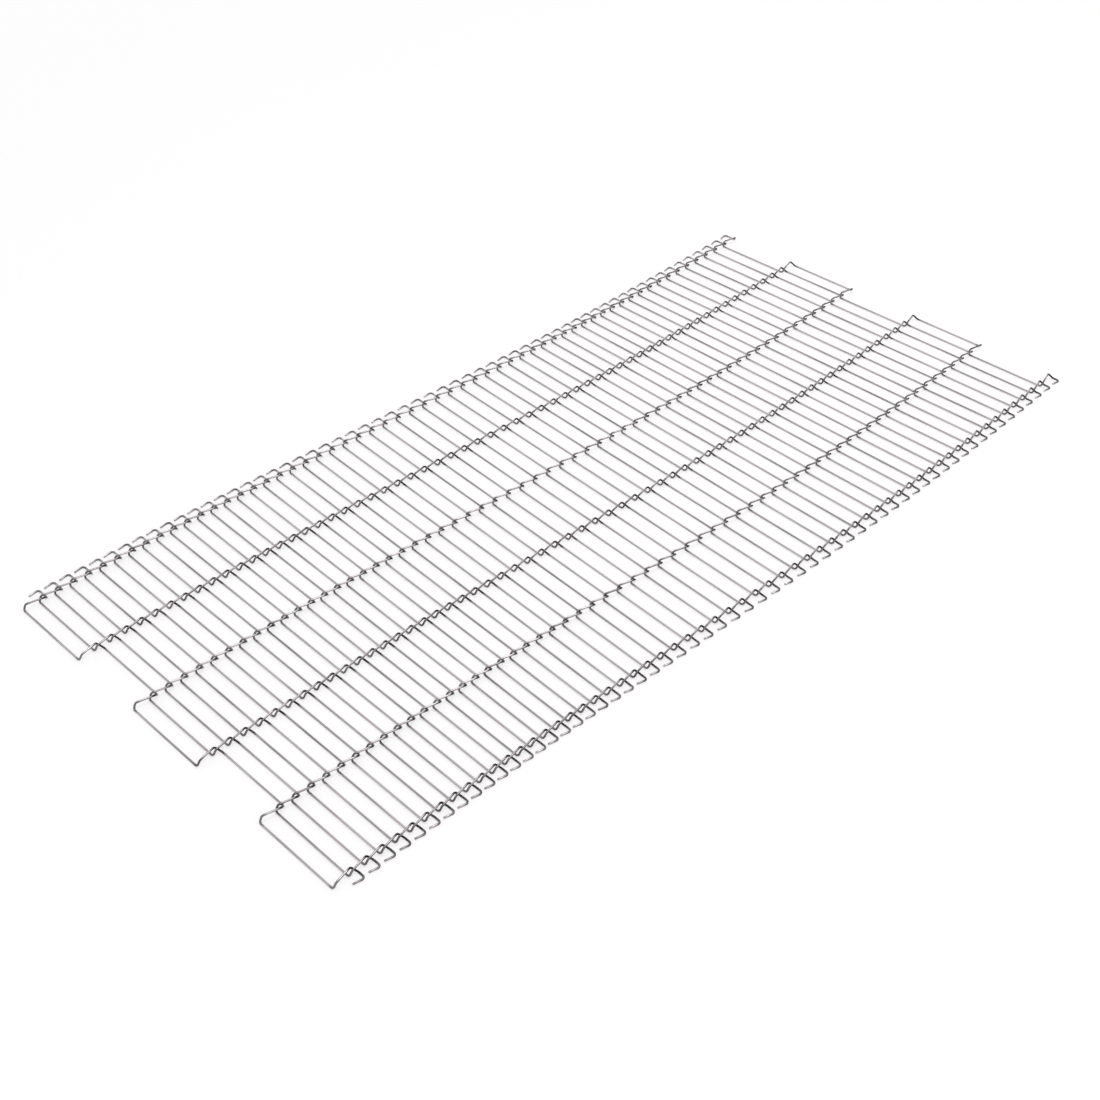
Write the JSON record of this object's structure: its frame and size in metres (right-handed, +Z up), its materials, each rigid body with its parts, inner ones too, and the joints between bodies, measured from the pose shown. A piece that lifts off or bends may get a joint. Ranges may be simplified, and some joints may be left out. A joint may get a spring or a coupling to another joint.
{
  "type": "wire mesh conveyor belt",
  "caption": "Flat open-mesh conveyor belt of bent stainless wire strands, each hooked over the next by Z-bends so that the run flexes lengthwise and carries goods over sprockets.",
  "frame": {"origin": "middle of the slack belt's outline, on the floor it lies on", "axes": "+X across the belt to the right edge seen from the near end, +Y along the belt to the far end, +Z up, on the side where the Z-bends stand up"},
  "size_m": [0.3976, 0.8436, 0.0064],
  "materials": {
    "stainless_wire": "bright drawn stainless wire, slightly duller at the bends"
  },
  "bodies": {
    "strand_01": {"strand_01": "stainless_wire"},
    "strand_02": {"strand_02": "stainless_wire"},
    "strand_03": {"strand_03": "stainless_wire"},
    "strand_04": {"strand_04": "stainless_wire"},
    "strand_05": {"strand_05": "stainless_wire"},
    "strand_06": {"strand_06": "stainless_wire"},
    "strand_07": {"strand_07": "stainless_wire"},
    "strand_08": {"strand_08": "stainless_wire"},
    "strand_09": {"strand_09": "stainless_wire"},
    "strand_10": {"strand_10": "stainless_wire"},
    "strand_11": {"strand_11": "stainless_wire"},
    "strand_12": {"strand_12": "stainless_wire"},
    "strand_13": {"strand_13": "stainless_wire"},
    "strand_14": {"strand_14": "stainless_wire"},
    "strand_15": {"strand_15": "stainless_wire"},
    "strand_16": {"strand_16": "stainless_wire"},
    "strand_17": {"strand_17": "stainless_wire"},
    "strand_18": {"strand_18": "stainless_wire"},
    "strand_19": {"strand_19": "stainless_wire"},
    "strand_20": {"strand_20": "stainless_wire"},
    "strand_21": {"strand_21": "stainless_wire"},
    "strand_22": {"strand_22": "stainless_wire"},
    "strand_23": {"strand_23": "stainless_wire"},
    "strand_24": {"strand_24": "stainless_wire"},
    "strand_25": {"strand_25": "stainless_wire"},
    "strand_26": {"strand_26": "stainless_wire"},
    "strand_27": {"strand_27": "stainless_wire"},
    "strand_28": {"strand_28": "stainless_wire"},
    "strand_29": {"strand_29": "stainless_wire"},
    "strand_30": {"strand_30": "stainless_wire"},
    "strand_31": {"strand_31": "stainless_wire"},
    "strand_32": {"strand_32": "stainless_wire"},
    "strand_33": {"strand_33": "stainless_wire"},
    "strand_34": {"strand_34": "stainless_wire"},
    "strand_35": {"strand_35": "stainless_wire"},
    "strand_36": {"strand_36": "stainless_wire"},
    "strand_37": {"strand_37": "stainless_wire"},
    "strand_38": {"strand_38": "stainless_wire"},
    "strand_39": {"strand_39": "stainless_wire"},
    "strand_40": {"strand_40": "stainless_wire"},
    "strand_41": {"strand_41": "stainless_wire"},
    "strand_42": {"strand_42": "stainless_wire"},
    "strand_43": {"strand_43": "stainless_wire"},
    "strand_44": {"strand_44": "stainless_wire"},
    "strand_45": {"strand_45": "stainless_wire"},
    "strand_46": {"strand_46": "stainless_wire"},
    "strand_47": {"strand_47": "stainless_wire"},
    "strand_48": {"strand_48": "stainless_wire"},
    "strand_49": {"strand_49": "stainless_wire"},
    "strand_50": {"strand_50": "stainless_wire"},
    "strand_51": {"strand_51": "stainless_wire"},
    "strand_52": {"strand_52": "stainless_wire"},
    "strand_53": {"strand_53": "stainless_wire"},
    "strand_54": {"strand_54": "stainless_wire"},
    "strand_55": {"strand_55": "stainless_wire"},
    "strand_56": {"strand_56": "stainless_wire"},
    "strand_57": {"strand_57": "stainless_wire"},
    "strand_58": {"strand_58": "stainless_wire"},
    "strand_59": {"strand_59": "stainless_wire"}
  },
  "joints": [
    {"name": "hook_01_02", "type": "hinge", "parent": "strand_02", "child": "strand_01", "pos_m": [-0.00101, -0.40095, 0.0035], "axis": [-0.9999, -0.0123, 0], "range_deg": [-20, 20]},
    {"name": "hook_02_03", "type": "hinge", "parent": "strand_03", "child": "strand_02", "pos_m": [-0.00117, -0.38764, 0.00355], "axis": [0.9999, 0.0121, 0], "range_deg": [-20, 20]},
    {"name": "hook_03_04", "type": "hinge", "parent": "strand_04", "child": "strand_03", "pos_m": [-0.00132, -0.37442, 0.00355], "axis": [-0.9999, -0.0117, 0], "range_deg": [-20, 20]},
    {"name": "hook_04_05", "type": "hinge", "parent": "strand_05", "child": "strand_04", "pos_m": [-0.00146, -0.36125, 0.00355], "axis": [0.9999, 0.0109, 0], "range_deg": [-20, 20]},
    {"name": "hook_05_06", "type": "hinge", "parent": "strand_06", "child": "strand_05", "pos_m": [-0.00158, -0.34815, 0.00355], "axis": [-1, -0.0099, 0], "range_deg": [-20, 20]},
    {"name": "hook_06_07", "type": "hinge", "parent": "strand_07", "child": "strand_06", "pos_m": [-0.00167, -0.33514, 0.00355], "axis": [1, 0.0085, 0], "range_deg": [-20, 20]},
    {"name": "hook_07_08", "type": "hinge", "parent": "strand_08", "child": "strand_07", "pos_m": [-0.00174, -0.32224, 0.00355], "axis": [-1, -0.0069, 0], "range_deg": [-20, 20]},
    {"name": "hook_08_09", "type": "hinge", "parent": "strand_09", "child": "strand_08", "pos_m": [-0.00178, -0.30945, 0.00355], "axis": [1, 0.0049, 0], "range_deg": [-20, 20]},
    {"name": "hook_09_10", "type": "hinge", "parent": "strand_10", "child": "strand_09", "pos_m": [-0.00179, -0.29676, 0.00355], "axis": [-1, -0.0027, 0], "range_deg": [-20, 20]},
    {"name": "hook_10_11", "type": "hinge", "parent": "strand_11", "child": "strand_10", "pos_m": [-0.00177, -0.28418, 0.00355], "axis": [1, 0.0003, 0], "range_deg": [-20, 20]},
    {"name": "hook_11_12", "type": "hinge", "parent": "strand_12", "child": "strand_11", "pos_m": [-0.00171, -0.27168, 0.00355], "axis": [-1, 0.0023, 0], "range_deg": [-20, 20]},
    {"name": "hook_12_13", "type": "hinge", "parent": "strand_13", "child": "strand_12", "pos_m": [-0.00161, -0.25925, 0.00355], "axis": [1, -0.0051, 0], "range_deg": [-20, 20]},
    {"name": "hook_13_14", "type": "hinge", "parent": "strand_14", "child": "strand_13", "pos_m": [-0.00148, -0.24686, 0.00355], "axis": [-1, 0.008, 0], "range_deg": [-20, 20]},
    {"name": "hook_14_15", "type": "hinge", "parent": "strand_15", "child": "strand_14", "pos_m": [-0.00131, -0.23447, 0.00355], "axis": [0.9999, -0.011, 0], "range_deg": [-20, 20]},
    {"name": "hook_15_16", "type": "hinge", "parent": "strand_16", "child": "strand_15", "pos_m": [-0.0011, -0.22206, 0.00355], "axis": [-0.9999, 0.0139, 0], "range_deg": [-20, 20]},
    {"name": "hook_16_17", "type": "hinge", "parent": "strand_17", "child": "strand_16", "pos_m": [-0.00086, -0.20958, 0.00355], "axis": [0.9999, -0.0167, 0], "range_deg": [-20, 20]},
    {"name": "hook_17_18", "type": "hinge", "parent": "strand_18", "child": "strand_17", "pos_m": [-0.00059, -0.197, 0.00355], "axis": [-0.9998, 0.0194, 0], "range_deg": [-20, 20]},
    {"name": "hook_18_19", "type": "hinge", "parent": "strand_19", "child": "strand_18", "pos_m": [-0.00028, -0.18428, 0.00355], "axis": [0.9998, -0.0219, 0], "range_deg": [-20, 20]},
    {"name": "hook_19_20", "type": "hinge", "parent": "strand_20", "child": "strand_19", "pos_m": [0.00006, -0.1714, 0.00355], "axis": [-0.9997, 0.0241, 0], "range_deg": [-20, 20]},
    {"name": "hook_20_21", "type": "hinge", "parent": "strand_21", "child": "strand_20", "pos_m": [0.00042, -0.15832, 0.00355], "axis": [0.9997, -0.026, 0], "range_deg": [-20, 20]},
    {"name": "hook_21_22", "type": "hinge", "parent": "strand_22", "child": "strand_21", "pos_m": [0.0008, -0.14502, 0.00355], "axis": [-0.9996, 0.0276, 0], "range_deg": [-20, 20]},
    {"name": "hook_22_23", "type": "hinge", "parent": "strand_23", "child": "strand_22", "pos_m": [0.00121, -0.13149, 0.00355], "axis": [0.9996, -0.0289, 0], "range_deg": [-20, 20]},
    {"name": "hook_23_24", "type": "hinge", "parent": "strand_24", "child": "strand_23", "pos_m": [0.00163, -0.11772, 0.00355], "axis": [-0.9996, 0.0298, 0], "range_deg": [-20, 20]},
    {"name": "hook_24_25", "type": "hinge", "parent": "strand_25", "child": "strand_24", "pos_m": [0.00207, -0.10371, 0.00355], "axis": [0.9995, -0.0305, 0], "range_deg": [-20, 20]},
    {"name": "hook_25_26", "type": "hinge", "parent": "strand_26", "child": "strand_25", "pos_m": [0.00251, -0.08946, 0.00355], "axis": [-0.9995, 0.0309, 0], "range_deg": [-20, 20]},
    {"name": "hook_26_27", "type": "hinge", "parent": "strand_27", "child": "strand_26", "pos_m": [0.00296, -0.075, 0.00355], "axis": [0.9995, -0.031, 0], "range_deg": [-20, 20]},
    {"name": "hook_27_28", "type": "hinge", "parent": "strand_28", "child": "strand_27", "pos_m": [0.00341, -0.06033, 0.00355], "axis": [-0.9995, 0.0308, 0], "range_deg": [-20, 20]},
    {"name": "hook_28_29", "type": "hinge", "parent": "strand_29", "child": "strand_28", "pos_m": [0.00386, -0.0455, 0.00355], "axis": [0.9995, -0.0304, 0], "range_deg": [-20, 20]},
    {"name": "hook_29_30", "type": "hinge", "parent": "strand_30", "child": "strand_29", "pos_m": [0.00429, -0.03054, 0.00355], "axis": [-0.9996, 0.0296, 0], "range_deg": [-20, 20]},
    {"name": "hook_30_31", "type": "hinge", "parent": "strand_30", "child": "strand_31", "pos_m": [0.00472, -0.01548, 0.00355], "axis": [-0.9996, 0.0287, 0], "range_deg": [-20, 20]},
    {"name": "hook_31_32", "type": "hinge", "parent": "strand_31", "child": "strand_32", "pos_m": [0.00512, -0.00036, 0.00355], "axis": [0.9996, -0.0275, 0], "range_deg": [-20, 20]},
    {"name": "hook_32_33", "type": "hinge", "parent": "strand_32", "child": "strand_33", "pos_m": [0.0055, 0.01478, 0.00355], "axis": [-0.9997, 0.026, 0], "range_deg": [-20, 20]},
    {"name": "hook_33_34", "type": "hinge", "parent": "strand_33", "child": "strand_34", "pos_m": [0.00585, 0.0299, 0.00355], "axis": [0.9997, -0.0243, 0], "range_deg": [-20, 20]},
    {"name": "hook_34_35", "type": "hinge", "parent": "strand_34", "child": "strand_35", "pos_m": [0.00617, 0.04497, 0.00355], "axis": [-0.9998, 0.0223, 0], "range_deg": [-20, 20]},
    {"name": "hook_35_36", "type": "hinge", "parent": "strand_35", "child": "strand_36", "pos_m": [0.00644, 0.05996, 0.00355], "axis": [0.9998, -0.02, 0], "range_deg": [-20, 20]},
    {"name": "hook_36_37", "type": "hinge", "parent": "strand_36", "child": "strand_37", "pos_m": [0.00667, 0.07485, 0.00355], "axis": [-0.9998, 0.0174, 0], "range_deg": [-20, 20]},
    {"name": "hook_37_38", "type": "hinge", "parent": "strand_37", "child": "strand_38", "pos_m": [0.00686, 0.08961, 0.00355], "axis": [0.9999, -0.0146, 0], "range_deg": [-20, 20]},
    {"name": "hook_38_39", "type": "hinge", "parent": "strand_38", "child": "strand_39", "pos_m": [0.007, 0.10424, 0.00355], "axis": [-0.9999, 0.0115, 0], "range_deg": [-20, 20]},
    {"name": "hook_39_40", "type": "hinge", "parent": "strand_39", "child": "strand_40", "pos_m": [0.00708, 0.11873, 0.00355], "axis": [1, -0.0081, 0], "range_deg": [-20, 20]},
    {"name": "hook_40_41", "type": "hinge", "parent": "strand_40", "child": "strand_41", "pos_m": [0.0071, 0.1331, 0.00355], "axis": [-1, 0.0044, 0], "range_deg": [-20, 20]},
    {"name": "hook_41_42", "type": "hinge", "parent": "strand_41", "child": "strand_42", "pos_m": [0.00707, 0.14734, 0.00355], "axis": [1, -0.0006, 0], "range_deg": [-20, 20]},
    {"name": "hook_42_43", "type": "hinge", "parent": "strand_42", "child": "strand_43", "pos_m": [0.00698, 0.16149, 0.00355], "axis": [-1, -0.0034, 0], "range_deg": [-20, 20]},
    {"name": "hook_43_44", "type": "hinge", "parent": "strand_43", "child": "strand_44", "pos_m": [0.00683, 0.17556, 0.00355], "axis": [1, 0.0075, 0], "range_deg": [-20, 20]},
    {"name": "hook_44_45", "type": "hinge", "parent": "strand_44", "child": "strand_45", "pos_m": [0.00662, 0.18959, 0.00355], "axis": [-0.9999, -0.0116, 0], "range_deg": [-20, 20]},
    {"name": "hook_45_46", "type": "hinge", "parent": "strand_45", "child": "strand_46", "pos_m": [0.00636, 0.2036, 0.00355], "axis": [0.9999, 0.0157, 0], "range_deg": [-20, 20]},
    {"name": "hook_46_47", "type": "hinge", "parent": "strand_46", "child": "strand_47", "pos_m": [0.00604, 0.21762, 0.00355], "axis": [-0.9998, -0.0197, 0], "range_deg": [-20, 20]},
    {"name": "hook_47_48", "type": "hinge", "parent": "strand_47", "child": "strand_48", "pos_m": [0.00566, 0.2317, 0.00355], "axis": [0.9997, 0.0235, 0], "range_deg": [-20, 20]},
    {"name": "hook_48_49", "type": "hinge", "parent": "strand_48", "child": "strand_49", "pos_m": [0.00524, 0.24585, 0.00355], "axis": [-0.9996, -0.0271, 0], "range_deg": [-20, 20]},
    {"name": "hook_49_50", "type": "hinge", "parent": "strand_49", "child": "strand_50", "pos_m": [0.00477, 0.26011, 0.00355], "axis": [0.9995, 0.0304, 0], "range_deg": [-20, 20]},
    {"name": "hook_50_51", "type": "hinge", "parent": "strand_50", "child": "strand_51", "pos_m": [0.00426, 0.27449, 0.00355], "axis": [-0.9994, -0.0334, 0], "range_deg": [-20, 20]},
    {"name": "hook_51_52", "type": "hinge", "parent": "strand_51", "child": "strand_52", "pos_m": [0.00371, 0.28901, 0.00355], "axis": [0.9994, 0.036, 0], "range_deg": [-20, 20]},
    {"name": "hook_52_53", "type": "hinge", "parent": "strand_52", "child": "strand_53", "pos_m": [0.00312, 0.30368, 0.00355], "axis": [-0.9993, -0.0384, 0], "range_deg": [-20, 20]},
    {"name": "hook_53_54", "type": "hinge", "parent": "strand_53", "child": "strand_54", "pos_m": [0.0025, 0.31851, 0.00355], "axis": [0.9992, 0.0403, 0], "range_deg": [-20, 20]},
    {"name": "hook_54_55", "type": "hinge", "parent": "strand_54", "child": "strand_55", "pos_m": [0.00185, 0.33348, 0.00355], "axis": [-0.9991, -0.042, 0], "range_deg": [-20, 20]},
    {"name": "hook_55_56", "type": "hinge", "parent": "strand_55", "child": "strand_56", "pos_m": [0.00119, 0.34859, 0.00355], "axis": [0.9991, 0.0433, 0], "range_deg": [-20, 20]},
    {"name": "hook_56_57", "type": "hinge", "parent": "strand_56", "child": "strand_57", "pos_m": [0.0005, 0.36381, 0.00355], "axis": [-0.999, -0.0443, 0], "range_deg": [-20, 20]},
    {"name": "hook_57_58", "type": "hinge", "parent": "strand_57", "child": "strand_58", "pos_m": [-0.0002, 0.37913, 0.00355], "axis": [0.999, 0.045, 0], "range_deg": [-20, 20]},
    {"name": "hook_58_59", "type": "hinge", "parent": "strand_58", "child": "strand_59", "pos_m": [-0.0009, 0.39451, 0.00355], "axis": [-0.999, -0.0455, 0], "range_deg": [-20, 20]}
  ]
}
